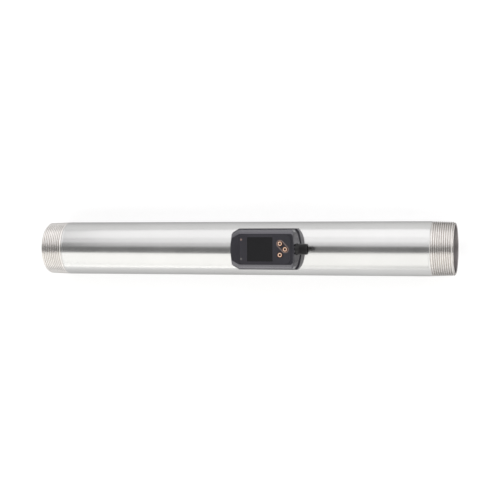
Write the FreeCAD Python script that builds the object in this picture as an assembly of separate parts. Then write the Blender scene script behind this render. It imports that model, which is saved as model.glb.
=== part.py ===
import FreeCAD, Part
import math
import os

# In-line thermal flow meter for compressed air: a threaded steel pipe with a moulded display head on top.
# Frame: origin at the centre of the inlet end face, +X along the flow, +Z out through the display.
# Lengths are millimetres. Heights (z) are measured from the pipe axis.
# Head pieces use u and v, along and across the pipe from the probe axis.
Vector = FreeCAD.Vector

# Pipe: DN50 steel pipe with a 2 inch taper pipe thread (R 2, 11 per inch) on each end
tube_length = 475.0
tube_outer_d = 60.3
tube_wall = 3.65
thread_length = 26.9
thread_taper = 1.0 / 16.0
thread_chamfer = 1.6
bore_chamfer = 0.6
sensor_x = 272.5

# Welded boss that seats the probe, and the probe that hangs in the air stream
boss_d = 30.0
boss_rise = 5.0
flange_d = 20.0
flange_t = 2.0
stem_d = 14.0
stem_wall = 1.7
stem_reach = 9.0
cage_window_w = 8.0
cage_window_h = 14.0
cage_floor_t = 2.4
element_d = 2.0
element_pitch = 4.8
element_show = 12.0
element_seat = 4.0
ring_groove_w = 1.9
ring_groove_depth = 1.3
ring_groove_d = 17.0

# Head envelope: face on top, a bevel along the long sides, sloping ends, a base that straddles the pipe.
# Corners are cut by a run along the pipe and a rise across it, longer at the inlet end than at the plug.
head_rise = 25.85
cover_depth = 16.0
brow_drop = 0.8
brow_half_length = 35.4
brow_half_width = 18.7
brow_end_bulge = 1.0
brow_inlet_run = 8.4
brow_inlet_rise = 4.6
brow_plug_run = 1.8
brow_plug_rise = 2.2
bevel_drop = 3.3
gasket_t = 1.0
gasket_w = 1.3
gasket_recess = 0.7
cover_step = 1.1
head_centre_u = -0.35
face_half_length = 34.95
face_half_width = 16.8
face_end_bulge = 0.7
face_inlet_run = 8.6
face_inlet_rise = 4.7
face_plug_run = 1.8
face_plug_rise = 1.8
bevel_half_length = 36.25
bevel_half_width = 21.2
bevel_end_bulge = 1.4
bevel_inlet_run = 8.0
bevel_inlet_rise = 4.4
bevel_plug_run = 1.8
bevel_plug_rise = 2.6
seam_half_length = 40.4
seam_half_width = 22.5
seam_end_bulge = 2.8
seam_inlet_run = 7.6
seam_inlet_rise = 4.4
seam_plug_run = 2.4
seam_plug_rise = 3.2
foot_half_length = 43.9
foot_half_width = 22.6
foot_end_bulge = 7.0
foot_inlet_run = 6.2
foot_inlet_rise = 5.0
foot_plug_run = 4.2
foot_plug_rise = 4.6
shell_wall = 2.2
cover_plate_t = 2.0
edge_round = 0.6

# Base shell over the boss
cap_wall = 2.0
cap_plate_t = 2.2
cap_hole_d = 16.0
base_screw_circle_d = 25.2
sensor_post_h = 1.5
sensor_post_d = 4.4
sensor_post_pitch = 28.0

# Front panel, window, indicators and keys (u, v from the probe axis)
panel_t = 1.2
panel_left = 25.5
panel_right = 31.2
panel_half_width = 16.0
panel_left_radius = 1.6
panel_right_radius = 7.0
window_u = -2.75
window_length = 28.3
window_width = 26.2
window_ledge = 1.0
indicator_u = -23.7
indicator_v = 10.5
guide_d = 2.1
guide_flange_d = 3.2
guide_flange_t = 0.8
key_column_u = 19.8
key_column_v = 6.1
key_side_u = 25.5
key_d = 6.0
key_dimple_d = 2.4
key_crown = 0.7
key_lift = 0.1
key_flange_d = 7.4
key_flange_t = 0.9
key_stem_d = 2.8
key_travel = 0.5

# Electronics
sensor_board_length = 33.0
sensor_board_width = 12.0
sensor_board_t = 1.2
header_length = 12.0
header_width = 2.6
header_h = 5.35
header_v = 3.6
main_board_margin = 2.3
main_board_half_width = 17.4
main_board_t = 1.6
module_length = 29.0
module_width = 27.0
module_t = 2.6
carrier_wall = 1.0
carrier_ledge = 1.6
carrier_clip_h = 1.2
switch_side = 4.5
switch_h = 1.8
plunger_d = 2.4
plunger_show = 0.7
plunger_seat = 1.0
chip_length = 2.0
chip_width = 1.4
chip_h = 0.9

# Screws
cover_post_d = 6.0
cover_post_shoulder = 0.6
cover_post_right_u = 24.4
cover_post_right_v = 12.4
cover_screw_bite = 5.5
post_gap = 0.3
board_post_v = 15.8
board_post_d = 4.0
screw_d = 2.5
screw_head_d = 4.5
screw_head_h = 1.4
small_screw_d = 1.6
small_head_d = 3.2
small_head_h = 1.1
small_screw_bite = 3.6
drive_across = 1.5
drive_depth = 0.7

# M12 plug connector on the downstream end of the cover
plug_drop = 8.0
plug_d = 12.0
plug_thread_length = 8.6
plug_end_u = 48.6
plug_chamfer = 0.5
plug_collar_d = 10.8
plug_shoulder_u = 35.6
plug_flange_t = 1.7
plug_cavity_d = 8.6
plug_cavity_depth = 8.8
plug_neck_d = 7.8
plug_neck_length = 6.0
plug_pad_t = 2.8
plug_pad_wall = 0.9
plug_pocket_gap = 0.35
insert_d = 6.2
insert_lip = 1.5
contact_d = 1.0
contact_circle_d = 4.4
contact_count = 4
contact_show = 5.8
contact_tail = 0.6
plug_board_gap = 0.4
coding_key_w = 1.2
coding_key_h = 0.6
nut_across = 8.1
nut_t = 2.2
seal_groove_w = 1.4
seal_groove_depth = 1.1

# Clearances
slip_gap = 0.1
fit_gap = 0.2
saddle_gap = 0.2
guide_gap = 0.15
squeeze = 0.02

# Levels and radii worked out from the sizes above
tube_r = tube_outer_d / 2
bore_r = tube_r - tube_wall
boss_r = boss_d / 2
boss_top = tube_r + boss_rise
stem_r = stem_d / 2
stem_bore_r = stem_r - stem_wall
port_r = stem_r + slip_gap
saddle_r = tube_r + saddle_gap
floor_r = saddle_r + shell_wall
face_z = tube_r + head_rise
bevel_z = face_z - bevel_drop
brow_z = face_z - brow_drop
seam_z = face_z - cover_depth
cover_low = seam_z + gasket_t / 2
base_top = seam_z - gasket_t / 2
panel_floor = face_z - panel_t
plate_low = panel_floor - cover_plate_t
cap_top = boss_top + cap_plate_t
sensor_board_low = cap_top + sensor_post_h
sensor_board_top = sensor_board_low + sensor_board_t
main_board_low = sensor_board_top + header_h
main_board_top = main_board_low + main_board_t
switch_top = main_board_top + switch_h
plunger_top = switch_top + plunger_show
module_top = plate_low - fit_gap
module_low = module_top - module_t
plug_z = face_z - plug_drop
neck_end_u = plug_shoulder_u - plug_neck_length
carrier_length = module_length + 2 * (carrier_wall + slip_gap)
carrier_width = module_width + 2 * (carrier_wall + slip_gap)
cover_post_r = cover_post_d / 2
shoulder_r = cover_post_r + cover_post_shoulder
cover_post_left_u = window_u - carrier_length / 2 - post_gap - shoulder_r
board_post_u = window_u + carrier_length / 2 + post_gap + board_post_d / 2
main_board_left = cover_post_r + main_board_margin - cover_post_left_u
main_board_right = neck_end_u - contact_tail - plug_board_gap

face_section = (face_half_length, face_half_width, face_end_bulge,
                face_inlet_run, face_inlet_rise, face_plug_run, face_plug_rise)
brow_section = (brow_half_length, brow_half_width, brow_end_bulge,
                brow_inlet_run, brow_inlet_rise, brow_plug_run, brow_plug_rise)
bevel_section = (bevel_half_length, bevel_half_width, bevel_end_bulge,
                 bevel_inlet_run, bevel_inlet_rise, bevel_plug_run, bevel_plug_rise)
seam_section = (seam_half_length, seam_half_width, seam_end_bulge,
                seam_inlet_run, seam_inlet_rise, seam_plug_run, seam_plug_rise)
foot_section = (foot_half_length, foot_half_width, foot_end_bulge,
                foot_inlet_run, foot_inlet_rise, foot_plug_run, foot_plug_rise)

key_places = {
    "up": (key_column_u, key_column_v),
    "enter": (key_side_u, 0.0),
    "down": (key_column_u, -key_column_v),
}
indicator_places = [(indicator_u, side * indicator_v) for side in (1, -1)]
cover_post_places = [(cover_post_left_u, 0.0)]
cover_post_places += [(cover_post_right_u, side * cover_post_right_v) for side in (1, -1)]
board_post_places = [(board_post_u, side * board_post_v) for side in (1, -1)]
sensor_post_places = [(side * sensor_post_pitch / 2, 0.0) for side in (1, -1)]


def disc(radius, low, high, place=(0.0, 0.0)):
    return Part.makeCylinder(radius, high - low, Vector(sensor_x + place[0], place[1], low))


def rod(radius, u_low, u_high, z, v=0.0):
    return Part.makeCylinder(radius, u_high - u_low, Vector(sensor_x + u_low, v, z), Vector(1, 0, 0))


def block(length, width, low, high, place=(0.0, 0.0)):
    corner = Vector(sensor_x + place[0] - length / 2, place[1] - width / 2, low)
    return Part.makeBox(length, width, high - low, corner)


def polygon(points):
    return Part.Face(Part.makePolygon(points + [points[0]]))


def turned_on_pipe(points):
    profile = polygon([Vector(x, 0, r) for x, r in points])
    return profile.revolve(Vector(0, 0, 0), Vector(1, 0, 0), 360)


def turned_on_plug(points):
    profile = polygon([Vector(sensor_x + u, 0, plug_z + r) for u, r in points])
    return profile.revolve(Vector(0, 0, plug_z), Vector(1, 0, 0), 360)


def turned_upright(points, place):
    profile = polygon([Vector(sensor_x + place[0] + r, place[1], z) for r, z in points])
    return profile.revolve(Vector(sensor_x + place[0], place[1], 0), Vector(0, 0, 1), 360)


def pipe_solid(radius):
    return Part.makeCylinder(radius, tube_length, Vector(0, 0, 0), Vector(1, 0, 0))


def inset(section, amount):
    return (section[0] - amount, section[1] - amount) + section[2:]


def walled(section):
    return inset(section, shell_wall)


def outline(section, z):
    length, width, bulge, inlet_run, inlet_rise, plug_run, plug_rise = section
    tip = length - bulge
    left = inlet_run - tip
    right = tip - plug_run
    left_edge = width - inlet_rise
    right_edge = width - plug_rise
    middle_x = sensor_x + head_centre_u
    corners = []
    for u, v in [(left, width), (right, width), (tip, right_edge), (tip, -right_edge),
                 (right, -width), (left, -width), (-tip, -left_edge), (-tip, left_edge)]:
        corners.append(Vector(middle_x + u, v, z))
    right_end = Part.Arc(corners[2], Vector(middle_x + length, 0, z), corners[3]).toShape()
    left_end = Part.Arc(corners[6], Vector(middle_x - length, 0, z), corners[7]).toShape()
    edges = [Part.makeLine(corners[0], corners[1]), Part.makeLine(corners[1], corners[2]), right_end]
    edges += [Part.makeLine(corners[3], corners[4]), Part.makeLine(corners[4], corners[5])]
    edges += [Part.makeLine(corners[5], corners[6]), left_end, Part.makeLine(corners[7], corners[0])]
    return Part.Wire(edges)


def shell_body(sections):
    return Part.makeLoft([outline(section, z) for section, z in sections], True, True)


def panel_prism(grow, low, high):
    left = -panel_left - grow
    right = panel_right + grow
    width = panel_half_width + grow
    small = panel_left_radius
    large = panel_right_radius
    turn = math.sqrt(0.5)

    def point(u, v):
        return Vector(sensor_x + u, v, low)

    def corner(centre_u, centre_v, radius, su, sv):
        first = point(centre_u + radius * su, centre_v)
        middle = point(centre_u + radius * su * turn, centre_v + radius * sv * turn)
        last = point(centre_u, centre_v + radius * sv)
        return first, middle, last

    r1, r2, r3 = corner(right - large, width - large, large, 1, 1)
    l1, l2, l3 = corner(left + small, width - small, small, -1, 1)
    m1, m2, m3 = corner(left + small, small - width, small, -1, -1)
    s1, s2, s3 = corner(right - large, large - width, large, 1, -1)
    edges = [Part.Arc(r1, r2, r3).toShape(), Part.makeLine(r3, l3), Part.Arc(l3, l2, l1).toShape()]
    edges += [Part.makeLine(l1, m1), Part.Arc(m1, m2, m3).toShape(), Part.makeLine(m3, s3)]
    edges += [Part.Arc(s3, s2, s1).toShape(), Part.makeLine(s1, r1)]
    return Part.Face(Part.Wire(edges)).extrude(Vector(0, 0, high - low))


def hexagon(across, low, high, place):
    radius = across / math.sqrt(3)
    points = []
    for step in range(6):
        turn = math.radians(60 * step)
        along = sensor_x + place[0] + radius * math.cos(turn)
        points.append(Vector(along, place[1] + radius * math.sin(turn), low))
    return polygon(points).extrude(Vector(0, 0, high - low))


def screw(place, seat, length, shank_d, head_d, head_h, up):
    way = 1 if up else -1
    head_end = seat + way * head_h
    shank_end = seat - way * length
    head = disc(head_d / 2, min(seat, head_end), max(seat, head_end), place)
    shank = disc(shank_d / 2, min(seat, shank_end), max(seat, shank_end), place)
    drive_end = head_end - way * drive_depth
    drive = hexagon(drive_across, min(head_end, drive_end), max(head_end, drive_end), place)
    return head.fuse(shank).cut(drive).removeSplitter()


def squeezed_ring(radius, middle, half):
    flat = half * math.tan(math.radians(22.5))
    points = []
    for along, across in [(flat, half), (half, flat), (half, -flat), (flat, -half)]:
        points.append((radius + along, middle + across))
    for along, across in [(-flat, -half), (-half, -flat), (-half, flat), (-flat, half)]:
        points.append((radius + along, middle + across))
    return points


def bevelled(solid, wanted, size):
    edges = [edge for edge in solid.Edges if wanted(edge.CenterOfMass)]
    return solid.makeChamfer(size, edges)


def rounded(solid, wanted, radius):
    edges = [edge for edge in solid.Edges if wanted(edge.CenterOfMass)]
    return solid.makeFillet(radius, edges)


def save(name, shapes):
    solids = []
    for shape in shapes:
        solids += shape.Solids
    result = solids[0] if len(solids) == 1 else Part.makeCompound(solids)
    result.exportStep("parts/" + name + ".step")


os.makedirs("parts", exist_ok=True)

# Measuring tube: thread cones run from the full diameter down to the end faces
thread_end_r = tube_r - thread_length * thread_taper / 2
chamfer_r = thread_end_r - thread_chamfer
tube = turned_on_pipe([
    (0, bore_r + bore_chamfer), (0, chamfer_r), (thread_chamfer, thread_end_r),
    (thread_length, tube_r), (tube_length - thread_length, tube_r),
    (tube_length - thread_chamfer, thread_end_r), (tube_length, chamfer_r),
    (tube_length, bore_r + bore_chamfer), (tube_length - bore_chamfer, bore_r),
    (bore_chamfer, bore_r),
])
tube = tube.cut(disc(port_r, 0, tube_outer_d))
save("measuring_tube", [tube])

# Boss: saddle-cut to the pipe, counterbored for the probe flange, with a ring groove and four tapped holes
flange_low = boss_top - flange_t
base_screw_places = []
for step in range(4):
    turn = math.radians(45 + 90 * step)
    across = base_screw_circle_d / 2 * math.sin(turn)
    base_screw_places.append((base_screw_circle_d / 2 * math.cos(turn), across))
boss = disc(boss_r, 0, boss_top).cut(pipe_solid(tube_r))
boss = boss.cut(disc(port_r, 0, boss_top))
boss = boss.cut(disc(flange_d / 2 + slip_gap, flange_low, boss_top))
groove_in = (ring_groove_d - ring_groove_w) / 2
groove_out = (ring_groove_d + ring_groove_w) / 2
groove_low = flange_low - ring_groove_depth
boss = boss.cut(disc(groove_out, groove_low, flange_low).cut(disc(groove_in, groove_low, flange_low)))
base_screw_bite = small_screw_bite
for place in base_screw_places:
    boss = boss.cut(disc(screw_d / 2 + squeeze, boss_top - base_screw_bite - fit_gap, boss_top, place))
save("sensor_boss", [boss])

ring_half = ring_groove_depth / 2 - squeeze
ring_mid = groove_low + ring_groove_depth / 2
ring_points = squeezed_ring(ring_groove_d / 2, ring_mid, ring_half)
save("probe_seal", [turned_upright(ring_points, (0.0, 0.0))])

# Probe: flange and hollow stem, with a window milled through the cage along the flow
stem_low = -stem_reach
window_low = stem_low + cage_floor_t
window_top = window_low + cage_window_h
probe = disc(flange_d / 2, flange_low, boss_top).fuse(disc(stem_r, stem_low, flange_low))
probe = probe.cut(disc(stem_bore_r, window_low, boss_top))
probe = probe.cut(block(stem_d + tube_wall, cage_window_w, window_low, window_top)).removeSplitter()
probe = bevelled(probe, lambda c: abs(c.z - stem_low) < squeeze, cage_floor_t / 3)
save("probe_body", [probe])

element_places = [(side * element_pitch / 2, 0.0) for side in (1, -1)]
holder = disc(stem_bore_r - slip_gap, window_top, sensor_board_low)
elements = []
for place in element_places:
    seat_top = window_top + element_seat
    holder = holder.cut(disc(element_d / 2 + squeeze, window_top, seat_top, place))
    element = disc(element_d / 2, window_top - element_show, seat_top, place)
    elements.append(bevelled(element, lambda c: c.z < window_top - element_show + squeeze, element_d / 4))
save("element_holder", [holder])
save("sensing_elements", elements)

# Base shell: lofted walls over the pipe, a curved floor, a cap over the boss and screw posts
foot_z = math.sqrt(saddle_r ** 2 - foot_half_width ** 2) - shell_wall
rim_section = inset(seam_section, cover_step)
base_outer = shell_body([(foot_section, foot_z), (seam_section, base_top)])
hollow = shell_body([(walled(foot_section), foot_z), (walled(rim_section), base_top)])
hollow = hollow.cut(pipe_solid(floor_r))
cap_r = boss_r + fit_gap + cap_wall
base = base_outer.cut(hollow)
base = base.fuse(disc(cap_r, 0, cap_top))
for place in cover_post_places:
    base = base.fuse(disc(cover_post_r, 0, base_top, place))
for place in sensor_post_places:
    base = base.fuse(disc(sensor_post_d / 2, boss_top, sensor_board_low, place))
base = base.cut(pipe_solid(saddle_r))
base = base.cut(disc(boss_r + fit_gap, 0, boss_top))
base = base.cut(disc(cap_hole_d / 2, 0, cap_top))
for place in base_screw_places:
    base = base.cut(disc(screw_d / 2 + guide_gap, boss_top, cap_top, place))
for place in cover_post_places:
    base = base.cut(disc(screw_d / 2 + squeeze, base_top - cover_screw_bite - fit_gap, base_top, place))
sensor_bite = sensor_post_h + cap_plate_t / 2
for place in sensor_post_places:
    hole_low = sensor_board_low - sensor_bite
    base = base.cut(disc(small_screw_d / 2 + squeeze, hole_low, sensor_board_low, place))
base = max(base.removeSplitter().Solids, key=lambda s: s.Volume)
save("lower_housing", [base])

base_screws = []
for place in base_screw_places:
    length = cap_plate_t + base_screw_bite
    base_screws.append(screw(place, cap_top, length, screw_d, screw_head_d - fit_gap, screw_head_h, True))
save("base_screws", base_screws)

# Gasket: follows the cover rim, set back to leave the dark groove
gasket = Part.Face(outline(inset(rim_section, gasket_recess), base_top))
gasket_hole = Part.Face(outline(inset(rim_section, gasket_recess + gasket_w), base_top))
gasket = gasket.cut(gasket_hole).extrude(Vector(0, 0, gasket_t))
save("housing_gasket", [gasket])

# Cover: lofted envelope with rounded outer edges, hollowed, then posts, plug seat and openings.
# Its rim stands back on the base, which leaves a ledge all round.
cover = shell_body([(rim_section, cover_low), (bevel_section, bevel_z), (brow_section, brow_z),
                    (face_section, face_z)])
cover = rounded(cover, lambda c: c.z > cover_low + squeeze, edge_round)
hollow = shell_body([(walled(rim_section), cover_low), (walled(bevel_section), plate_low)])
cover = cover.cut(hollow)
pad_r = plug_d / 2 + plug_pad_wall
pad_low_u = plug_shoulder_u - plug_pad_t
pad = rod(pad_r, pad_low_u, plug_shoulder_u, plug_z)
pad = pad.common(block(tube_length, tube_outer_d, cover_low, panel_floor))
cover = cover.fuse(pad)
for place in cover_post_places:
    cover = cover.fuse(disc(cover_post_r, base_top, plate_low, place))
    cover = cover.fuse(disc(shoulder_r, main_board_top, plate_low, place))
for place in board_post_places:
    cover = cover.fuse(disc(board_post_d / 2, main_board_top, plate_low, place))
cover = cover.cut(panel_prism(slip_gap, panel_floor, face_z))
opening_length = window_length - 2 * window_ledge
opening_width = window_width - 2 * window_ledge
cover = cover.cut(block(opening_length, opening_width, plate_low, panel_floor, (window_u, 0)))
key_hole_r = key_d / 2 + guide_gap
for place in key_places.values():
    cover = cover.cut(disc(key_hole_r, plate_low, panel_floor, place))
for place in indicator_places:
    cover = cover.cut(disc(guide_d / 2 + slip_gap, plate_low, panel_floor, place))
head_seat = panel_floor - screw_head_h - slip_gap
for place in cover_post_places:
    cover = cover.cut(disc(screw_head_d / 2 + slip_gap, head_seat, panel_floor, place))
    cover = cover.cut(disc(screw_d / 2 + guide_gap, base_top, head_seat, place))
for place in board_post_places:
    hole_top = main_board_top + small_screw_bite
    cover = cover.cut(disc(small_screw_d / 2 + squeeze, main_board_top, hole_top, place))
cover = cover.cut(rod(plug_d / 2 + plug_pocket_gap, plug_shoulder_u, plug_end_u, plug_z))
cover = cover.cut(rod(plug_neck_d / 2 + slip_gap, 0, plug_shoulder_u, plug_z))
cover = max(cover.removeSplitter().Solids, key=lambda s: s.Volume)
save("upper_cover", [cover])

cover_screws = []
for place in cover_post_places:
    length = head_seat - base_top + cover_screw_bite
    cover_screws.append(screw(place, head_seat, length, screw_d, screw_head_d, screw_head_h, True))
save("cover_screws", cover_screws)

# Front panel and display window
panel = panel_prism(0, panel_floor, face_z)
frame_length = window_length + 2 * slip_gap
frame_width = window_width + 2 * slip_gap
panel = panel.cut(block(frame_length, frame_width, panel_floor, face_z, (window_u, 0)))
for place in key_places.values():
    panel = panel.cut(disc(key_hole_r, panel_floor, face_z, place))
for place in indicator_places:
    panel = panel.cut(disc(guide_d / 2 + slip_gap, panel_floor, face_z, place))
save("front_panel", [panel])
save("display_lens", [block(window_length, window_width, panel_floor, face_z, (window_u, 0))])

# Display module in its carrier on the main board
module_place = (window_u, 0.0)
save("display_module", [block(module_length, module_width, module_low, module_top, module_place)])
carrier = block(carrier_length, carrier_width, main_board_top, module_low + carrier_clip_h, module_place)
seat_length = module_length + 2 * slip_gap
seat_width = module_width + 2 * slip_gap
carrier = carrier.cut(block(seat_length, seat_width, module_low, module_top, module_place))
clear_length = module_length - 2 * carrier_ledge
clear_width = module_width - 2 * carrier_ledge
carrier = carrier.cut(block(clear_length, clear_width, main_board_top, module_low, module_place))
save("display_carrier", [carrier])

# Boards and the plug strip between them
board_length = main_board_left + main_board_right
board_place = ((main_board_right - main_board_left) / 2, 0.0)
board = block(board_length, 2 * main_board_half_width, main_board_low, main_board_top, board_place)
for place in cover_post_places:
    board = board.cut(disc(cover_post_r + fit_gap, main_board_low, main_board_top, place))
for place in board_post_places:
    board = board.cut(disc(small_screw_d / 2 + guide_gap, main_board_low, main_board_top, place))
save("main_board", [board])
board_screws = []
for place in board_post_places:
    length = main_board_t + small_screw_bite - fit_gap
    seat = main_board_low
    board_screws.append(screw(place, seat, length, small_screw_d, small_head_d, small_head_h, False))
save("board_screws", board_screws)

sensor_board = block(sensor_board_length, sensor_board_width, sensor_board_low, sensor_board_top)
for place in sensor_post_places:
    hole = disc(small_screw_d / 2 + guide_gap, sensor_board_low, sensor_board_top, place)
    sensor_board = sensor_board.cut(hole)
save("sensor_board", [sensor_board])
sensor_screws = []
for place in sensor_post_places:
    length = sensor_board_t + sensor_bite - fit_gap
    seat = sensor_board_top
    sensor_screws.append(screw(place, seat, length, small_screw_d, small_head_d, small_head_h, True))
save("sensor_board_screws", sensor_screws)
save("board_header", [block(header_length, header_width, sensor_board_top, main_board_low, (0, header_v))])

# Indicators: a light source on the board under each light guide
chips = []
guides = []
for place in indicator_places:
    chip_top = main_board_top + chip_h
    chips.append(block(chip_length, chip_width, main_board_top, chip_top, place))
    guide = disc(guide_d / 2, chip_top + slip_gap, face_z, place)
    guide = guide.fuse(disc(guide_flange_d / 2, plate_low - guide_flange_t, plate_low, place))
    guides.append(guide.removeSplitter())
save("status_leds", chips)
save("light_guides", guides)

# Keys: a crowned ring with a dimple, a retaining flange under the cover plate and a stem down to the plunger
switches = []
crown_low = face_z + key_lift
flange_top = plate_low - slip_gap
plunger_low = switch_top - plunger_seat
for name, place in key_places.items():
    key_r = key_d / 2
    dimple_r = key_dimple_d / 2
    crown_r = (key_r + dimple_r) / 2

    def on_key(r, z):
        return Vector(sensor_x + place[0] + r, place[1], z)

    path = [on_key(dimple_r, crown_low), on_key(0, crown_low), on_key(0, plunger_top)]
    path += [on_key(key_stem_d / 2, plunger_top), on_key(key_stem_d / 2, flange_top - key_flange_t)]
    path += [on_key(key_flange_d / 2, flange_top - key_flange_t), on_key(key_flange_d / 2, flange_top)]
    path += [on_key(key_r, flange_top), on_key(key_r, crown_low)]
    crown = Part.Arc(path[-1], on_key(crown_r, crown_low + key_crown), path[0]).toShape()
    edges = [Part.makeLine(a, b) for a, b in zip(path[:-1], path[1:])]
    profile = Part.Face(Part.Wire(edges + [crown]))
    key = profile.revolve(on_key(0, 0), Vector(0, 0, 1), 360)
    save(name + "_button", [key])
    save(name + "_plunger", [disc(plunger_d / 2, plunger_low, plunger_top, place)])
    switch = block(switch_side, switch_side, main_board_top, switch_top, place)
    well_low = plunger_low - key_travel - slip_gap
    switch = switch.cut(disc(plunger_d / 2 + slip_gap, well_low, switch_top, place))
    switches.append(switch)
save("key_switches", switches)

# Plug connector: threaded shell with a collar, a neck through the cover wall, contact carrier and contacts
thread_low_u = plug_end_u - plug_chamfer - plug_thread_length
cavity_low_u = plug_end_u - plug_cavity_depth
plug_r = plug_d / 2
insert_hole_r = insert_d / 2 + slip_gap
shell = turned_on_plug([
    (neck_end_u, insert_hole_r), (neck_end_u, plug_neck_d / 2), (plug_shoulder_u, plug_neck_d / 2),
    (plug_shoulder_u, plug_r - slip_gap), (plug_shoulder_u + plug_flange_t, plug_r - slip_gap),
    (plug_shoulder_u + plug_flange_t, plug_collar_d / 2),
    (thread_low_u - plug_chamfer, plug_collar_d / 2), (thread_low_u, plug_r),
    (plug_end_u - plug_chamfer, plug_r), (plug_end_u, plug_r - plug_chamfer),
    (plug_end_u, plug_cavity_d / 2), (cavity_low_u, plug_cavity_d / 2), (cavity_low_u, insert_hole_r),
])
key_low = plug_z + plug_cavity_d / 2 - coding_key_h
key_length = plug_cavity_depth - insert_lip - plug_chamfer
key_box = block(key_length, coding_key_w, key_low, plug_z + plug_r - plug_chamfer,
                (plug_end_u - plug_chamfer - key_length / 2, 0))
shell = shell.fuse(key_box).removeSplitter()
seal_r = plug_neck_d / 2 + seal_groove_w / 2 + slip_gap
seal_in = seal_r - seal_groove_w / 2
seal_out = seal_r + seal_groove_w / 2
groove_end_u = plug_shoulder_u + seal_groove_depth
groove = rod(seal_out, plug_shoulder_u, groove_end_u, plug_z)
groove = groove.cut(rod(seal_in, plug_shoulder_u, groove_end_u, plug_z))
shell = shell.cut(groove)
save("connector_body", [shell])
seal_half = seal_groove_depth / 2 - squeeze
seal_points = squeezed_ring(seal_r, plug_shoulder_u + seal_groove_depth / 2, seal_half)
save("connector_seal", [turned_on_plug([(u, r) for r, u in seal_points])])

insert = rod(insert_d / 2, neck_end_u, cavity_low_u, plug_z)
insert = insert.fuse(rod(plug_cavity_d / 2 - slip_gap, cavity_low_u, cavity_low_u + insert_lip, plug_z))
contacts = []
for step in range(contact_count):
    turn = math.radians(45 + 360 * step / contact_count)
    across = contact_circle_d / 2 * math.cos(turn)
    height = plug_z + contact_circle_d / 2 * math.sin(turn)
    tail_u = neck_end_u - contact_tail
    tip_u = cavity_low_u + insert_lip + contact_show
    insert = insert.cut(rod(contact_d / 2 + squeeze, neck_end_u, tip_u, height, across))
    contact = rod(contact_d / 2, tail_u, tip_u, height, across)
    contacts.append(bevelled(contact, lambda c: c.x > sensor_x + tip_u - squeeze, contact_d / 4))
save("connector_insert", [insert.removeSplitter()])
save("contact_pins", contacts)

nut_end_u = pad_low_u - nut_t
nut_r = nut_across / math.sqrt(3)
nut_points = []
for step in range(6):
    turn = math.radians(30 + 60 * step)
    height = plug_z + nut_r * math.cos(turn)
    nut_points.append(Vector(sensor_x + nut_end_u, nut_r * math.sin(turn), height))
nut = polygon(nut_points).extrude(Vector(nut_t, 0, 0))
nut = nut.cut(rod(plug_neck_d / 2 + squeeze, nut_end_u, pad_low_u, plug_z))
save("connector_nut", [nut])
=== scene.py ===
import math
import bpy
from mathutils import Matrix, Vector


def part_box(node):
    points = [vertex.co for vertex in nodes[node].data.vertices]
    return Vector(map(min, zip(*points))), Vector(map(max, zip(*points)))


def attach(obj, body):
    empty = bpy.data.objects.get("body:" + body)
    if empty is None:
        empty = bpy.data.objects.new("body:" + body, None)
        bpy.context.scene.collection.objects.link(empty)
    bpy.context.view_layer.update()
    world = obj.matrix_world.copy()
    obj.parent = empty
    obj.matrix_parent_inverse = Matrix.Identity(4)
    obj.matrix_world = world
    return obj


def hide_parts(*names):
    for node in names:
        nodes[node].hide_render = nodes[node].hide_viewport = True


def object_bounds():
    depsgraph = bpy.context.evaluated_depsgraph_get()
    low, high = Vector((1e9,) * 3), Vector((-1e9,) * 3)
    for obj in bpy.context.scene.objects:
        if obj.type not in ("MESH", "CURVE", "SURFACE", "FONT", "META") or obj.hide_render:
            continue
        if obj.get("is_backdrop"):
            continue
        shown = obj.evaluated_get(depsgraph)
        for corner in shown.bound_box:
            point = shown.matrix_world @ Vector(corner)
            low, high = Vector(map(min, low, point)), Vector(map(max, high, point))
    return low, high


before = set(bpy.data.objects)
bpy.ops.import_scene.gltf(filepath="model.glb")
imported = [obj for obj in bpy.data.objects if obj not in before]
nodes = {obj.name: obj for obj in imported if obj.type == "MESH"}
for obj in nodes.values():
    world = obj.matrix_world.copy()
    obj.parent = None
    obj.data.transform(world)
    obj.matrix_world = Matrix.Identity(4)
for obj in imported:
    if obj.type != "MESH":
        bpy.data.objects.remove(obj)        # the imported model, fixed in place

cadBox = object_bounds()
mm = 0.001               # the scene is in metres, the pieces' values are in mm
tiny = 1e-6              # metres, for merging points and for tests against zero
pickReach = 0.002        # mm, how near a picked point lies to its plane
bpy.context.scene.view_settings.view_transform = "Standard"
print("frame loaded:", len(nodes), "nodes")


# small tools for drawing pieces
def deselectAll():
    if bpy.context.object and bpy.context.object.mode == "EDIT":
        bpy.ops.object.mode_set(mode="OBJECT")
    bpy.ops.object.select_all(action="DESELECT")


def drawLine(name, points):      # one vertex, extruded from point to point; stays in edit mode
    deselectAll()
    bpy.ops.mesh.primitive_plane_add(size=mm)
    obj = bpy.context.object
    obj.name = name
    obj.data.name = name
    bpy.ops.object.mode_set(mode="EDIT")
    bpy.ops.mesh.select_mode(type="VERT")
    bpy.ops.mesh.select_all(action="SELECT")
    bpy.ops.mesh.merge(type="CENTER")
    bpy.ops.mesh.select_all(action="SELECT")
    bpy.ops.transform.translate(value=Vector(points[0]) * mm)
    for here, there in zip(points, points[1:]):
        step = (Vector(there) - Vector(here)) * mm
        bpy.ops.mesh.extrude_region_move(TRANSFORM_OT_translate={"value": step})
    return obj


def selectEdges(obj, test):      # picks edges by the place of both ends, in mm
    bpy.ops.object.mode_set(mode="OBJECT")
    for part in (obj.data.vertices, obj.data.edges, obj.data.polygons):
        part.foreach_set("select", [False] * len(part))
    for edge in obj.data.edges:
        ends = [obj.data.vertices[i].co / mm for i in edge.vertices]
        if all(test(end) for end in ends):
            edge.select = True
            for i in edge.vertices:
                obj.data.vertices[i].select = True
    bpy.ops.object.mode_set(mode="EDIT")
    bpy.ops.mesh.select_mode(type="EDGE")


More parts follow.
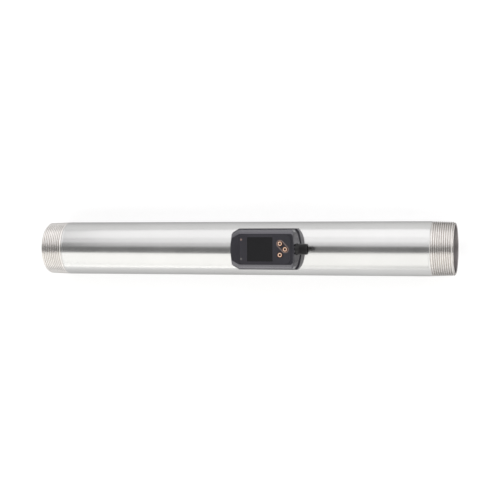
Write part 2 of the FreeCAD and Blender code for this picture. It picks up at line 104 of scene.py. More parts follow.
def runLoop(start, path):        # extrudes the picked loop along X through (x, radius) stations
    lastX, lastR = start
    for x, radius in path:
        bpy.ops.mesh.extrude_region_move(TRANSFORM_OT_translate={"value": ((x - lastX) * mm, 0, 0)})
        grow = radius / lastR
        bpy.ops.transform.resize(value=(1, grow, grow), center_override=(x * mm, 0, 0))
        lastX, lastR = x, radius


def cutThread(name, thread):     # helical thread from an end face at x = 0 inwards, right-handed
    slope = math.radians(90 - thread["halfAngle"])  # rounded crest, straight flank, rounded root
    bends = [slope * step / thread["bends"] for step in range(thread["bends"] + 1)]
    arc = [(thread["round"] * math.sin(t), thread["round"] * (1 - math.cos(t))) for t in bends]
    rootR = thread["endR"] - thread["depth"]
    crest = [(x, thread["endR"] - drop) for x, drop in arc]
    root = [(thread["pitch"] / 2 - x, rootR + drop) for x, drop in arc]
    half = crest + root[::-1]
    tooth = half + [(thread["pitch"] - x, r) for x, r in half[-2::-1]]
    leadTurns = 2                                   # drawn before the end face and cut off again
    lead = -leadTurns * thread["pitch"]
    obj = drawLine(name, [(lead + x, 0, r) for x, r in tooth])
    bpy.ops.object.mode_set(mode="OBJECT")
    screw = obj.modifiers.new("screw", "SCREW")
    screw.axis = "X"
    screw.screw_offset = thread["pitch"] * mm
    screw.iterations = math.ceil(thread["length"] / thread["pitch"]) + leadTurns + 1
    screw.steps = thread["steps"]
    screw.render_steps = thread["steps"]
    screw.use_merge_vertices = True
    screw.merge_threshold = tiny
    bpy.ops.object.modifier_apply(modifier=screw.name)
    for vertex in obj.data.vertices:      # taper, run-out at the inner end, chamfer at the face
        x = vertex.co.x / mm
        radius = math.hypot(vertex.co.y, vertex.co.z) / mm
        cut = thread["endR"] - radius
        fade = min(1.0, max(0.0, (thread["length"] - x) / thread["runOut"]))
        wanted = thread["endR"] + min(x, thread["length"]) * thread["taper"] / 2 - cut * fade
        wanted = min(wanted, thread["endR"] - thread["chamfer"] + x)
        vertex.co.y *= wanted / radius
        vertex.co.z *= wanted / radius
    bpy.ops.object.mode_set(mode="EDIT")
    for place, side in ((0, -1), (thread["length"], 1)):
        bpy.ops.mesh.select_all(action="SELECT")
        bpy.ops.mesh.bisect(plane_co=(place * mm, 0, 0), plane_no=(side, 0, 0),
                            clear_outer=True, threshold=tiny)
    bpy.ops.mesh.select_all(action="SELECT")
    bpy.ops.mesh.remove_doubles(threshold=tiny)
    return obj


def finishPiece(obj, body, material, angle=30):      # shades, dresses and ties it to its body
    bpy.ops.object.mode_set(mode="EDIT")
    bpy.ops.mesh.select_all(action="SELECT")
    bpy.ops.mesh.normals_make_consistent(inside=False)
    bpy.ops.object.mode_set(mode="OBJECT")
    obj.select_set(True)
    bpy.context.view_layer.objects.active = obj
    bpy.ops.object.shade_smooth_by_angle(angle=math.radians(angle))
    obj.data.materials.clear()
    obj.data.materials.append(material)
    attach(obj, body)


# small tools for materials
def newGroup(name, inputs, outputs):
    tree = bpy.data.node_groups.new(name, "ShaderNodeTree")
    for title, kind, value in inputs:
        socket = tree.interface.new_socket(name=title, in_out="INPUT", socket_type=kind)
        socket.default_value = value
    for title, kind in outputs:
        tree.interface.new_socket(name=title, in_out="OUTPUT", socket_type=kind)
    return tree, tree.nodes.new("NodeGroupInput"), tree.nodes.new("NodeGroupOutput")


def addNode(tree, kind, **settings):
    node = tree.nodes.new("ShaderNode" + kind)
    for key, value in settings.items():
        if key.startswith("in_"):
            node.inputs[key[3:].replace("_", " ")].default_value = value
        else:
            setattr(node, key, value)
    return node


def newMaterial(name, **values):
    material = bpy.data.materials.new(name)
    material.use_nodes = True
    shader = material.node_tree.nodes["Principled BSDF"]
    for key, value in values.items():
        shader.inputs[key.replace("_", " ")].default_value = value
    return material, material.node_tree, shader


def placeGroup(tree, group, **values):
    node = tree.nodes.new("ShaderNodeGroup")
    node.node_tree = group
    for key, value in values.items():
        node.inputs[key].default_value = value
    return node


def join(tree, output, target):
    tree.links.new(output, target)


mixNumber = dict(a=2, b=3, out=0)     # sockets of a Mix node that blends numbers
mixColour = dict(a=6, b=7, out=2)     # and of one that blends colours

# fine moulded grain: a height for bump and a slow tone change
mouldGrain, groupIn, groupOut = newGroup(
    "mouldGrain",
    [("Grain", "NodeSocketFloat", 4000.0), ("Blotch", "NodeSocketFloat", 60.0)],
    [("Height", "NodeSocketFloat"), ("Tone", "NodeSocketFloat")])
place = addNode(mouldGrain, "TexCoord")
grain = addNode(mouldGrain, "TexNoise", in_Detail=3.0, in_Roughness=0.6)
pits = addNode(mouldGrain, "TexVoronoi", feature="SMOOTH_F1")
blotch = addNode(mouldGrain, "TexNoise", in_Detail=4.0, in_Roughness=0.55)
pitShare = 0.45          # how much the pits count beside the grain
blend = addNode(mouldGrain, "Mix", data_type="FLOAT")
blend.inputs["Factor"].default_value = pitShare
for texture in (grain, pits, blotch):
    join(mouldGrain, place.outputs["Object"], texture.inputs["Vector"])
join(mouldGrain, groupIn.outputs["Grain"], grain.inputs["Scale"])
join(mouldGrain, groupIn.outputs["Grain"], pits.inputs["Scale"])
join(mouldGrain, groupIn.outputs["Blotch"], blotch.inputs["Scale"])
join(mouldGrain, grain.outputs["Fac"], blend.inputs[mixNumber["a"]])
join(mouldGrain, pits.outputs["Distance"], blend.inputs[mixNumber["b"]])
join(mouldGrain, blend.outputs[mixNumber["out"]], groupOut.inputs["Height"])
join(mouldGrain, blotch.outputs["Fac"], groupOut.inputs["Tone"])

# turned and ground metal: fine lines round the X axis, with a cloudy change of sheen
groundMetal, groupIn, groupOut = newGroup(
    "groundMetal",
    [("Lines", "NodeSocketFloat", 2600.0), ("Cloud", "NodeSocketFloat", 28.0)],
    [("Height", "NodeSocketFloat"), ("Tone", "NodeSocketFloat")])
place = addNode(groundMetal, "TexCoord")
squash = addNode(groundMetal, "Mapping")
lineDraw = 0.02          # the lines are drawn out round the axis by this scale
squash.inputs["Scale"].default_value = (1.0, lineDraw, lineDraw)
lines = addNode(groundMetal, "TexNoise", in_Detail=4.0, in_Roughness=0.65)
cloud = addNode(groundMetal, "TexNoise", in_Detail=5.0, in_Roughness=0.6)
join(groundMetal, place.outputs["Object"], squash.inputs["Vector"])
join(groundMetal, squash.outputs["Vector"], lines.inputs["Vector"])
join(groundMetal, place.outputs["Object"], cloud.inputs["Vector"])
join(groundMetal, groupIn.outputs["Lines"], lines.inputs["Scale"])
join(groundMetal, groupIn.outputs["Cloud"], cloud.inputs["Scale"])
join(groundMetal, lines.outputs["Fac"], groupOut.inputs["Height"])
join(groundMetal, cloud.outputs["Fac"], groupOut.inputs["Tone"])

toneSpan = (0.3, 0.7)    # the range that most of a noise texture's values fall in


def toneColour(tree, value, dark, light):        # a value between two colours
    ramp = addNode(tree, "ValToRGB")
    for element, position, colour in zip(ramp.color_ramp.elements, toneSpan, (dark, light)):
        element.position = position
        element.color = (*colour, 1)
    join(tree, value, ramp.inputs["Fac"])
    return ramp.outputs["Color"]


def toneRange(tree, value, low, high):           # a value moved to another range
    span = addNode(tree, "MapRange")
    span.inputs["From Min"].default_value = toneSpan[0]
    span.inputs["From Max"].default_value = toneSpan[1]
    span.inputs["To Min"].default_value = low
    span.inputs["To Max"].default_value = high
    join(tree, value, span.inputs["Value"])
    return span.outputs["Result"]


def addBump(tree, shader, height, strength, depth):
    bump = addNode(tree, "Bump")
    bump.inputs["Strength"].default_value = strength
    bump.inputs["Distance"].default_value = depth
    join(tree, height, bump.inputs["Height"])
    join(tree, bump.outputs["Normal"], shader.inputs["Normal"])


def mouldedPlastic(name, look):
    sheen = look.get("sheen", (1.0, 1.0, 1.0))
    material, tree, shader = newMaterial(name, Specular_IOR_Level=look["specular"],
                                         IOR=look.get("ior", 1.5), Specular_Tint=(*sheen, 1))
    grain = placeGroup(tree, mouldGrain, Grain=look["grain"], Blotch=look["blotch"])
    colour = toneColour(tree, grain.outputs["Tone"], look["dark"], look["light"])
    join(tree, colour, shader.inputs["Base Color"])
    join(tree, toneRange(tree, grain.outputs["Tone"], *look["roughness"]), shader.inputs["Roughness"])
    addBump(tree, shader, grain.outputs["Height"], look["bump"], look["depth"])
    return material


def groundSteel(name, look):
    material, tree, shader = newMaterial(name, Metallic=1.0, Specular_Tint=(*look["rim"], 1))
    lines = placeGroup(tree, groundMetal, Lines=look["lines"], Cloud=look["cloud"])
    colour = toneColour(tree, lines.outputs["Tone"], look["dark"], look["light"])
    if "groove" in look:                         # painted shade: the metal colour darkens down in the thread's grooves
        depth = addNode(tree, "Attribute", attribute_name="groove")
        shadeGrooves = addNode(tree, "Mix", data_type="RGBA", blend_type="MULTIPLY")
        shadeGrooves.inputs[mixColour["b"]].default_value = (*look["groove"], 1)
        join(tree, depth.outputs["Fac"], shadeGrooves.inputs["Factor"])
        join(tree, colour, shadeGrooves.inputs[mixColour["a"]])
        colour = shadeGrooves.outputs[mixColour["out"]]
    join(tree, colour, shader.inputs["Base Color"])
    join(tree, toneRange(tree, lines.outputs["Tone"], *look["roughness"]), shader.inputs["Roughness"])
    addBump(tree, shader, lines.outputs["Height"], look["bump"], look["depth"])
    return material


plastics = {
    "housingPlastic": dict(dark=(0.0098, 0.0090, 0.0128), light=(0.0130, 0.0120, 0.0168),
                           roughness=(0.16, 0.22), grain=5200.0, blotch=70.0, bump=0.25, depth=0.00005,
                           specular=1.0, ior=1.59, sheen=(0.95, 0.935, 1.0)),
    "basePlastic": dict(dark=(0.026, 0.025, 0.031), light=(0.036, 0.034, 0.041), roughness=(0.30, 0.38),
                        grain=5200.0, blotch=70.0, bump=0.25, depth=0.00005, specular=0.65,
                        sheen=(0.96, 0.94, 1.0)),
    "panelFoil": dict(dark=(0.023, 0.022, 0.028), light=(0.028, 0.027, 0.034), roughness=(0.30, 0.36),
                      grain=9000.0, blotch=40.0, bump=0.12, depth=0.00003, specular=0.5),
    "plugPlastic": dict(dark=(0.0125, 0.012, 0.013), light=(0.017, 0.0165, 0.0175),
                        roughness=(0.40, 0.48), grain=6000.0, blotch=120.0, bump=0.2, depth=0.00004,
                        specular=0.3),
    "sealRubber": dict(dark=(0.010, 0.010, 0.010), light=(0.016, 0.016, 0.016), roughness=(0.62, 0.74),
                       grain=4000.0, blotch=150.0, bump=0.2, depth=0.00004, specular=0.35),
    "holderPlastic": dict(dark=(0.50, 0.40, 0.28), light=(0.60, 0.49, 0.36), roughness=(0.45, 0.55),
                          grain=5000.0, blotch=90.0, bump=0.2, depth=0.00004, specular=0.5),
    "ceramicRod": dict(dark=(0.78, 0.77, 0.72), light=(0.86, 0.85, 0.81), roughness=(0.38, 0.48),
                       grain=7000.0, blotch=200.0, bump=0.15, depth=0.00003, specular=0.5),
    "carrierPlastic": dict(dark=(0.60, 0.60, 0.58), light=(0.70, 0.70, 0.68), roughness=(0.45, 0.55),
                           grain=5000.0, blotch=90.0, bump=0.2, depth=0.00004, specular=0.5),
    "switchPlastic": dict(dark=(0.020, 0.020, 0.021), light=(0.032, 0.032, 0.033), roughness=(0.4, 0.5),
                          grain=6000.0, blotch=150.0, bump=0.2, depth=0.00003, specular=0.5),
    "boardMask": dict(dark=(0.012, 0.11, 0.045), light=(0.020, 0.16, 0.065), roughness=(0.25, 0.35),
                      grain=3000.0, blotch=220.0, bump=0.15, depth=0.00003, specular=0.5),
    "displayGlass": dict(dark=(0.008, 0.008, 0.009), light=(0.011, 0.011, 0.013), roughness=(0.08, 0.12),
                         grain=9000.0, blotch=60.0, bump=0.02, depth=0.00001, specular=0.5),
    "keyPrint": dict(dark=(0.30, 0.22, 0.19), light=(0.38, 0.28, 0.25), roughness=(0.35, 0.45),
                     grain=9000.0, blotch=300.0, bump=0.05, depth=0.00002, specular=0.5),
    "ledBody": dict(dark=(0.70, 0.66, 0.45), light=(0.82, 0.78, 0.56), roughness=(0.2, 0.3),
                    grain=6000.0, blotch=300.0, bump=0.05, depth=0.00002, specular=0.5),
}
steels = {
    "pipeSteel": dict(dark=(0.535, 0.535, 0.53), light=(0.56, 0.56, 0.555), rim=(0.60, 0.60, 0.60),
                      roughness=(0.20, 0.24), lines=3200.0, cloud=22.0, bump=0.05, depth=0.00003),
    # the thread's colour is darkened towards each root: painted shade in the grooves
    "threadSteel": dict(dark=(0.73, 0.715, 0.70), light=(0.79, 0.775, 0.76), rim=(0.32, 0.315, 0.31),
                        roughness=(0.22, 0.28), lines=5200.0, cloud=60.0, bump=0.05, depth=0.00003,
                        groove=(0.82, 0.80, 0.785)),
    # bore steel: duller unpolished metal, darkened further as painted shade inside the bore
    "boreSteel": dict(dark=(0.38, 0.355, 0.355), light=(0.45, 0.425, 0.425), rim=(0.95, 0.94, 0.94),
                      roughness=(0.34, 0.42), lines=1800.0, cloud=40.0, bump=0.1, depth=0.00004),
    "probeSteel": dict(dark=(0.62, 0.62, 0.61), light=(0.70, 0.70, 0.69), rim=(0.8, 0.8, 0.8),
                       roughness=(0.26, 0.34), lines=4200.0, cloud=60.0, bump=0.1, depth=0.00003),
    "screwSteel": dict(dark=(0.55, 0.55, 0.54), light=(0.66, 0.66, 0.65), rim=(0.8, 0.8, 0.8),
                       roughness=(0.26, 0.36), lines=6000.0, cloud=300.0, bump=0.08, depth=0.00002),
    "contactGold": dict(dark=(0.78, 0.56, 0.20), light=(0.86, 0.66, 0.28), rim=(0.9, 0.85, 0.7),
                        roughness=(0.2, 0.28), lines=7000.0, cloud=400.0, bump=0.05, depth=0.00002),
}
finish = {name: mouldedPlastic(name, look) for name, look in plastics.items()}
finish.update({name: groundSteel(name, look) for name, look in steels.items()})

# smoked window over the display
lensLook = dict(dark=(0.0105, 0.0105, 0.0115), light=(0.0125, 0.0125, 0.0135), roughness=0.06,
                specular=0.5, grain=400.0, blotch=30.0)
lensGlass, tree, shader = newMaterial("lensGlass", Roughness=lensLook["roughness"],
                                      Specular_IOR_Level=lensLook["specular"])
lensTone = placeGroup(tree, mouldGrain, Grain=lensLook["grain"], Blotch=lensLook["blotch"])
smoke = toneColour(tree, lensTone.outputs["Tone"], lensLook["dark"], lensLook["light"])
join(tree, smoke, shader.inputs["Base Color"])
finish["lensGlass"] = lensGlass

# light guides: a rosy one above, a grey one below, cloudy inside
guideLook = dict(rosy=((0.23, 0.160, 0.148), (0.29, 0.210, 0.190)),
                 grey=((0.125, 0.118, 0.115), (0.17, 0.162, 0.158)),
                 roughness=0.25, grain=2000.0, blotch=500.0)
guideTint, tree, shader = newMaterial("guideTint", Roughness=guideLook["roughness"])
guideTone = placeGroup(tree, mouldGrain, Grain=guideLook["grain"], Blotch=guideLook["blotch"])
rosy = toneColour(tree, guideTone.outputs["Tone"], *guideLook["rosy"])
grey = toneColour(tree, guideTone.outputs["Tone"], *guideLook["grey"])
place = addNode(tree, "TexCoord")
parts = addNode(tree, "SeparateXYZ")
above = addNode(tree, "Math", operation="GREATER_THAN")
tints = addNode(tree, "Mix", data_type="RGBA")
above.inputs[1].default_value = 0.0
join(tree, place.outputs["Object"], parts.inputs["Vector"])
join(tree, parts.outputs["Y"], above.inputs[0])
join(tree, above.outputs["Value"], tints.inputs["Factor"])
join(tree, grey, tints.inputs[mixColour["a"]])
join(tree, rosy, tints.inputs[mixColour["b"]])
join(tree, tints.outputs[mixColour["out"]], shader.inputs["Base Color"])
finish["guideTint"] = guideTint


def ringKey(name, centre, look):  # orange ring with a painted cream highlight on it and a dark middle, by distance from the key's axis
    material, tree, shader = newMaterial(name, Roughness=look["roughness"],
                                         Specular_IOR_Level=look["specular"])
    place = addNode(tree, "TexCoord")
    move = addNode(tree, "Mapping")
    move.inputs["Location"].default_value = (-centre[0], -centre[1], 0)
    flat = addNode(tree, "VectorMath", operation="MULTIPLY")
    flat.inputs[1].default_value = (1, 1, 0)
    reach = addNode(tree, "VectorMath", operation="LENGTH")
    ramp = addNode(tree, "ValToRGB")
    ramp.color_ramp.interpolation = "LINEAR"
    scale = addNode(tree, "MapRange")
    scale.inputs["From Max"].default_value = look["reach"]
    stops = look["stops"]
    while len(ramp.color_ramp.elements) < len(stops):
        ramp.color_ramp.elements.new(stops[-1][0])
    for element, (position, colour) in zip(ramp.color_ramp.elements, stops):
        element.position = position
        element.color = (*colour, 1)
    grain = placeGroup(tree, mouldGrain, Grain=look["grain"])
    join(tree, place.outputs["Object"], move.inputs["Vector"])
    join(tree, move.outputs["Vector"], flat.inputs[0])
    join(tree, flat.outputs["Vector"], reach.inputs[0])
    join(tree, reach.outputs["Value"], scale.inputs["Value"])
    join(tree, scale.outputs["Result"], ramp.inputs["Fac"])
    join(tree, ramp.outputs["Color"], shader.inputs["Base Color"])
    addBump(tree, shader, grain.outputs["Height"], look["bump"], look["depth"])
    return material


keyLook = dict(
    roughness=0.3, specular=0.2, grain=5000.0, bump=0.1, depth=0.00002,
    reach=3.2 * mm,               # radius of the last stop
    # the pale cream stops at 0.50 and 0.615 are a painted highlight on the orange ring
    stops=[(0.00, (0.012, 0.002, 0.0004)), (0.45, (0.014, 0.0025, 0.0006)), (0.475, (0.90, 0.30, 0.09)),
           (0.50, (1.00, 0.86, 0.72)), (0.615, (1.00, 0.82, 0.66)), (0.66, (0.90, 0.26, 0.05)),
           (0.71, (0.045, 0.009, 0.003)), (1.00, (0.010, 0.004, 0.003))])
for name in ("up", "enter", "down"):
    low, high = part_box(name + "_button")
    centre = [(low[i] + high[i]) / 2 for i in range(2)]
    finish[name + "Key"] = ringKey(name + "Key", centre, keyLook)
print("materials made:", len(finish))

nodeFinish = {
    "housingPlastic": ["upper_cover"],
    "basePlastic": ["lower_housing"],
    "panelFoil": ["front_panel"],
    "sealRubber": ["housing_gasket", "probe_seal", "connector_seal"],
    "plugPlastic": ["connector_body", "connector_insert"],
    "contactGold": ["contact_pins", "connector_nut"],
    "pipeSteel": ["measuring_tube"],
    "probeSteel": ["sensor_boss", "probe_body"],
    "screwSteel": ["base_screws", "cover_screws", "board_screws", "sensor_board_screws"],
    "holderPlastic": ["element_holder"],
    "ceramicRod": ["sensing_elements"],
    "carrierPlastic": ["display_carrier"],
    "displayGlass": ["display_module"],
    "lensGlass": ["display_lens"],
    "boardMask": ["main_board", "sensor_board"],
    "switchPlastic": ["board_header", "key_switches", "up_plunger", "enter_plunger", "down_plunger"],
    "ledBody": ["status_leds"],
    "guideTint": ["light_guides"],
    "upKey": ["up_button"],
    "enterKey": ["enter_button"],
    "downKey": ["down_button"],
}
for coat, names in nodeFinish.items():
    for name in names:
        slots = nodes[name].data.materials
        slots.clear()
        slots.append(finish[coat])
print("nodes dressed")

# pipe with cut threads: one half is drawn, copied and turned, and the halves are bridged in the middle
pipe = dict(length=475.0, outerR=30.15, boreR=26.5, boreChamfer=0.6, bridge=3.0, wallReach=0.3)
pipeThread = dict(pitch=2.309, depth=1.479, halfAngle=27.5, length=26.9, taper=1 / 16, runOut=4.0,
                  chamfer=1.6, steps=96, round=0.317, bends=2)
pipeThread["endR"] = pipe["outerR"] - pipeThread["length"] * pipeThread["taper"] / 2
tube = cutThread("measuringTube", pipeThread)
halfX = pipe["length"] / 2 - pipe["bridge"]
faceR = pipeThread["endR"] - pipeThread["chamfer"]
selectEdges(tube, lambda p: abs(p.x - pipeThread["length"]) < pickReach)
runLoop((pipeThread["length"], pipe["outerR"]), [(halfX, pipe["outerR"])])
selectEdges(tube, lambda p: abs(p.x) < pickReach)
runLoop((0, faceR), [(0, pipe["boreR"] + pipe["boreChamfer"]), (pipe["boreChamfer"], pipe["boreR"]),
                     (halfX, pipe["boreR"])])
bpy.ops.object.mode_set(mode="OBJECT")
deselectAll()
tube.select_set(True)
bpy.context.view_layer.objects.active = tube
bpy.ops.object.duplicate()
other = bpy.context.object
middle = Matrix.Translation((pipe["length"] * mm / 2, 0, 0))
other.data.transform(middle @ Matrix.Rotation(math.pi, 4, "Z") @ middle.inverted())
tube.select_set(True)
bpy.context.view_layer.objects.active = tube
bpy.ops.object.join()
for wall in ("outerR", "boreR"):                       # the open rims on both sides of the gap
    selectEdges(tube, lambda p: abs(abs(p.x - pipe["length"] / 2) - pipe["bridge"]) < pickReach
                and abs(math.hypot(p.y, p.z) - pipe[wall]) < pipe["wallReach"])
    bpy.ops.mesh.bridge_edge_loops()
finishPiece(tube, "meter", finish["pipeSteel"], angle=35)
tube.data.materials.append(finish["threadSteel"])      # fresh-cut metal on both threads
tube.data.materials.append(finish["boreSteel"])        # the bore is left as drawn and duller; its darker colour is partly painted shade inside the bore
for face in tube.data.polygons:
    x, y, z = face.center / mm
    along = min(x, pipe["length"] - x)
    onThread = along < pipeThread["length"] - pipeThread["runOut"] / 2 and math.hypot(y, z) > faceR
    inBore = math.hypot(y, z) < pipe["boreR"] + pipe["boreChamfer"] / 2
    face.material_index = 1 if onThread else 2 if inBore else 0
# how deep each point lies in the thread, which sets the painted shade in the grooves
groove = tube.data.attributes.new("groove", "FLOAT", "POINT")
for vertex, mark in zip(tube.data.vertices, groove.data):      # painted shade in the grooves: 0 on a crest, 1 at a root
    x, y, z = vertex.co / mm
    crestR = pipeThread["endR"] + min(x, pipe["length"] - x) * pipeThread["taper"] / 2
    mark.value = min(1.0, max(0.0, (crestR - math.hypot(y, z)) / pipeThread["depth"]))
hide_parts("measuring_tube")
print("pipe:", len(tube.data.polygons), "faces")

# plug with a cut M12 thread, drawn from its open end inwards, then turned to face the outlet side
plug = dict(end=(321.1, 0.0, 48.0), collarR=5.4, flangeR=5.9, neckR=3.9, seatR=3.2, cavityR=4.3,
            cavity=8.8, collar=9.6, flange=11.3, shoulder=13.0, neck=19.0, edge=0.25,
            ribLength=6.6, ribStart=0.7, ribLow=3.7, ribHigh=4.8, ribWidth=1.2, ribEdge=0.15)
plugThread = dict(pitch=1.0, depth=0.61, halfAngle=30.0, endR=6.0, length=9.1, taper=0.0, runOut=1.0,
                  chamfer=0.5, steps=64, round=0.137, bends=2)
shell = cutThread("plugShell", plugThread)
edge = plug["edge"]
selectEdges(shell, lambda p: abs(p.x - plugThread["length"]) < pickReach)
runLoop((plugThread["length"], plugThread["endR"]), [
    (plug["collar"], plug["collarR"]), (plug["flange"], plug["collarR"]),
    (plug["flange"], plug["flangeR"] - edge), (plug["flange"] + edge, plug["flangeR"]),
    (plug["shoulder"] - edge, plug["flangeR"]), (plug["shoulder"], plug["flangeR"] - edge),
    (plug["shoulder"], plug["neckR"]), (plug["neck"], plug["neckR"]), (plug["neck"], plug["seatR"]),
    (plug["cavity"], plug["seatR"]), (plug["cavity"], plug["cavityR"]),
    (edge, plug["cavityR"]), (0, plug["cavityR"] + edge)])
selectEdges(shell, lambda p: abs(p.x) < pickReach)
bpy.ops.mesh.bridge_edge_loops()
bpy.ops.mesh.select_all(action="DESELECT")
bpy.ops.mesh.primitive_cube_add(size=mm)               # coding rib on the cavity wall
ribHeight = plug["ribHigh"] - plug["ribLow"]
ribSize = (plug["ribLength"], plug["ribWidth"], ribHeight)
bpy.ops.transform.resize(value=ribSize, center_override=(0, 0, 0))
ribX = plug["ribStart"] + plug["ribLength"] / 2
bpy.ops.transform.translate(value=(ribX * mm, 0, (plug["ribLow"] + ribHeight / 2) * mm))
bpy.ops.mesh.bevel(offset=plug["ribEdge"] * mm, segments=2)
bpy.ops.object.mode_set(mode="OBJECT")
shell.data.transform(Matrix.Translation(Vector(plug["end"]) * mm) @ Matrix.Rotation(math.pi, 4, "Z"))
finishPiece(shell, "meter", finish["plugPlastic"], angle=35)
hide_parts("connector_body")
print("plug:", len(shell.data.polygons), "faces")

# printed line round the up and enter keys: a circle drawn out to a capsule, inset to a thin strip
keyLine = dict(halfWidth=3.85, width=0.5, rise=0.04, sides=64)
ends = []
for name in ("up_button", "enter_button"):
    low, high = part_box(name)
    ends.append(Vector(((low[0] + high[0]) / 2, (low[1] + high[1]) / 2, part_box("front_panel")[1][2])))
deselectAll()
bpy.ops.mesh.primitive_circle_add(vertices=keyLine["sides"], radius=keyLine["halfWidth"] * mm,
                                  fill_type="NGON")
line = bpy.context.object
line.name = "keyLine"
line.data.name = "keyLine"
run = ends[1] - ends[0]
bpy.ops.object.mode_set(mode="EDIT")
bpy.ops.mesh.select_all(action="SELECT")
bpy.ops.transform.translate(value=ends[0])
selectEdges(line, lambda p: (p * mm - ends[0]).dot(run) > tiny)
bpy.ops.transform.translate(value=run)
bpy.ops.mesh.select_all(action="SELECT")
bpy.ops.mesh.select_mode(type="FACE")
bpy.ops.mesh.select_all(action="SELECT")
bpy.ops.mesh.inset(thickness=keyLine["width"] * mm)
bpy.ops.mesh.delete(type="FACE")
bpy.ops.mesh.select_all(action="SELECT")
bpy.ops.mesh.extrude_region_move(TRANSFORM_OT_translate={"value": (0, 0, keyLine["rise"] * mm)})
finishPiece(line, "meter", finish["keyPrint"])
print("key line:", len(line.data.polygons), "faces")

studio = dict(centre=0.24, reach=1.1, roomTone=0.25)     # metres, and the grey of the room

# floor: a glow lifts it to white round the object, and it still takes the shadow
floorLook = dict(size=24.0, drop=0.0002, lift=0.6, tone=0.46)
deselectAll()
floorZ = cadBox[0][2] - floorLook["drop"]
bpy.ops.mesh.primitive_plane_add(size=floorLook["size"], location=(studio["centre"], 0, floorZ))
floor = bpy.context.object
floor.name = "floor"
floorPaint = bpy.data.materials.new("floorPaint")
floorPaint.use_nodes = True
tree = floorPaint.node_tree
tree.nodes.remove(tree.nodes["Principled BSDF"])
matte = addNode(tree, "BsdfDiffuse")
matte.inputs["Color"].default_value = (floorLook["tone"],) * 3 + (1,)
glow = addNode(tree, "Emission")
ray = addNode(tree, "LightPath")
seen = addNode(tree, "Math", operation="MAXIMUM")
seenToo = addNode(tree, "Math", operation="MAXIMUM")
strength = addNode(tree, "Math", operation="MULTIPLY")
strength.inputs[1].default_value = floorLook["lift"]
both = addNode(tree, "AddShader")
join(tree, ray.outputs["Is Camera Ray"], seen.inputs[0])
join(tree, ray.outputs["Is Glossy Ray"], seen.inputs[1])
join(tree, seen.outputs["Value"], seenToo.inputs[0])
join(tree, ray.outputs["Is Transmission Ray"], seenToo.inputs[1])
join(tree, seenToo.outputs["Value"], strength.inputs[0])
join(tree, strength.outputs["Value"], glow.inputs["Strength"])
join(tree, matte.outputs["BSDF"], both.inputs[0])
join(tree, glow.outputs["Emission"], both.inputs[1])
join(tree, both.outputs["Shader"], tree.nodes["Material Output"].inputs["Surface"])
floor.data.materials.append(floorPaint)
floor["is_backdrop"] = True
print("floor laid")

# studio: softboxes along both sides of the pipe and beyond its ends, in a grey room
room = bpy.data.worlds.new("room")
bpy.context.scene.world = room
room.use_nodes = True
room.node_tree.nodes["Background"].inputs["Color"].default_value = (studio["roomTone"],) * 3 + (1,)
cool, warm, plain = (1.0, 0.99, 1.0), (1.0, 0.99, 0.965), (1.0, 1.0, 1.0)
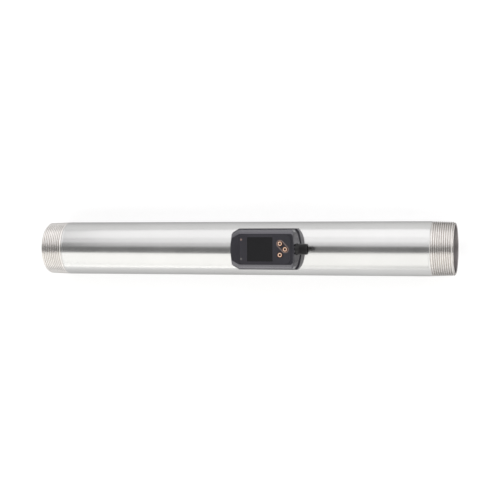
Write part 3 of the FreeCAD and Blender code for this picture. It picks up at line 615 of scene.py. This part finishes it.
# angles are in degrees from straight up, spans in metres along the lamp, a glow of 1 is white
softboxes = [
    dict(name="upLeft", axis="X", angles=(46.0, 89.0), span=(-0.59, 0.0), glow=1.38, tint=cool),
    dict(name="upRight", axis="X", angles=(46.0, 89.0), span=(0.0, 1.2), glow=1.455, tint=cool),
    dict(name="midLeft", axis="X", angles=(25.0, 45.5), span=(-0.5, 0.0), glow=1.12, tint=cool),
    dict(name="midRight", axis="X", angles=(25.0, 45.5), span=(0.0, 1.2), glow=1.27, tint=cool),
    dict(name="fillLeft", axis="X", angles=(9.0, 24.5), span=(-0.5, 0.0), glow=0.72, tint=cool),
    dict(name="fillRight", axis="X", angles=(9.0, 24.5), span=(0.0, 1.2), glow=0.89, tint=cool),
    dict(name="sideLeft", axis="X", angles=(46.0, 89.0), span=(-1.1, -0.59), glow=0.9, tint=cool),
    dict(name="sideMidLeft", axis="X", angles=(25.0, 45.5), span=(-1.1, -0.5), glow=0.7, tint=cool),
    dict(name="farLeft", axis="X", angles=(25.0, 92.0), span=(-2.8, -1.1), glow=1.05, tint=cool),
    dict(name="farRight", axis="X", angles=(25.0, 92.0), span=(1.25, 2.8), glow=1.15, tint=cool),
    dict(name="downLeft", axis="X", angles=(-18.0, -76.0), span=(-1.2, 0.0), glow=1.49, tint=warm),
    dict(name="downRight", axis="X", angles=(-18.0, -76.0), span=(0.0, 1.1), glow=1.41, tint=warm),
    dict(name="farDownLeft", axis="X", angles=(-18.0, -76.0), span=(-2.6, -1.25), glow=1.1, tint=warm),
    dict(name="farDownRight", axis="X", angles=(-18.0, -76.0), span=(1.15, 2.5), glow=0.9, tint=warm),
    dict(name="lowLeft", axis="X", angles=(-76.5, -85.0), span=(-1.2, 0.045), glow=1.46, tint=warm),
    dict(name="edgeLeft", axis="X", angles=(-85.2, -93.0), span=(-1.2, 0.045), glow=1.9, tint=warm),
    dict(name="lowRight", axis="X", angles=(-76.5, -92.0), span=(0.045, 0.3), glow=1.22, tint=warm),
    dict(name="lowFarRight", axis="X", angles=(-76.5, -92.0), span=(0.3, 1.1), glow=0.95, tint=warm),
    dict(name="endRight", axis="Y", angles=(50.0, 85.0), span=(-0.4, 0.75), glow=0.75, tint=plain),
    dict(name="endLeft", axis="Y", angles=(-50.0, -85.0), span=(-0.5, 0.5), glow=0.2, tint=plain),
]
for spec in softboxes:
    lamp = bpy.data.lights.new(spec["name"], "AREA")
    near, far = (math.radians(angle) for angle in spec["angles"])
    turn = (near + far) / 2
    across = 2 * studio["reach"] * math.tan(abs(far - near) / 2)
    along = spec["span"][1] - spec["span"][0]
    middle = sum(spec["span"]) / 2
    aside, above = math.sin(turn) * studio["reach"], math.cos(turn) * studio["reach"]
    lamp.shape = "RECTANGLE"
    lamp.energy = spec["glow"] * math.pi * along * across      # watts for a glow of that strength
    lamp.color = spec["tint"]
    box = bpy.data.objects.new(spec["name"], lamp)
    bpy.context.collection.objects.link(box)
    if spec["axis"] == "X":                                    # beside the pipe, long along it
        lamp.size, lamp.size_y = along, across
        box.location = (middle, aside, above)
        box.rotation_euler = (-turn, 0, 0)
    else:                                                      # beyond an end of the pipe
        lamp.size, lamp.size_y = across, along
        box.location = (studio["centre"] + aside, middle, above)
        box.rotation_euler = (0, turn, 0)
print("studio set")

# camera at the photograph's angle: leaning to the outlet side, almost square to the display
view = dict(lean=15.27, pitch=1.017, roll=-0.153, distance=1.4136, aside=-0.00588, shiftY=-0.00334,
            focal=1246.8, frameWidth=500,                  # both in pixels
            sensor=36.0, clipStart=0.01)
camera = bpy.data.cameras.new("camera")
camera.sensor_width = view["sensor"]
camera.lens = view["focal"] * view["sensor"] / view["frameWidth"]
camera.shift_y = view["shiftY"]
camera.clip_start = view["clipStart"]
eye = bpy.data.objects.new("camera", camera)
bpy.context.collection.objects.link(eye)
lean, pitch, roll = (math.radians(view[key]) for key in ("lean", "pitch", "roll"))
turn = Matrix.Rotation(lean, 4, "Y") @ Matrix.Rotation(-pitch, 4, "X") @ Matrix.Rotation(roll, 4, "Z")
pivot = Matrix.Translation((pipe["length"] * mm / 2, 0, 0))
eye.matrix_world = pivot @ turn @ Matrix.Translation((-view["aside"], 0, view["distance"]))
bpy.context.scene.camera = eye
print("camera placed")

box = {"cad": [list(corner) for corner in cadBox], "visual": [list(corner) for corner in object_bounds()]}
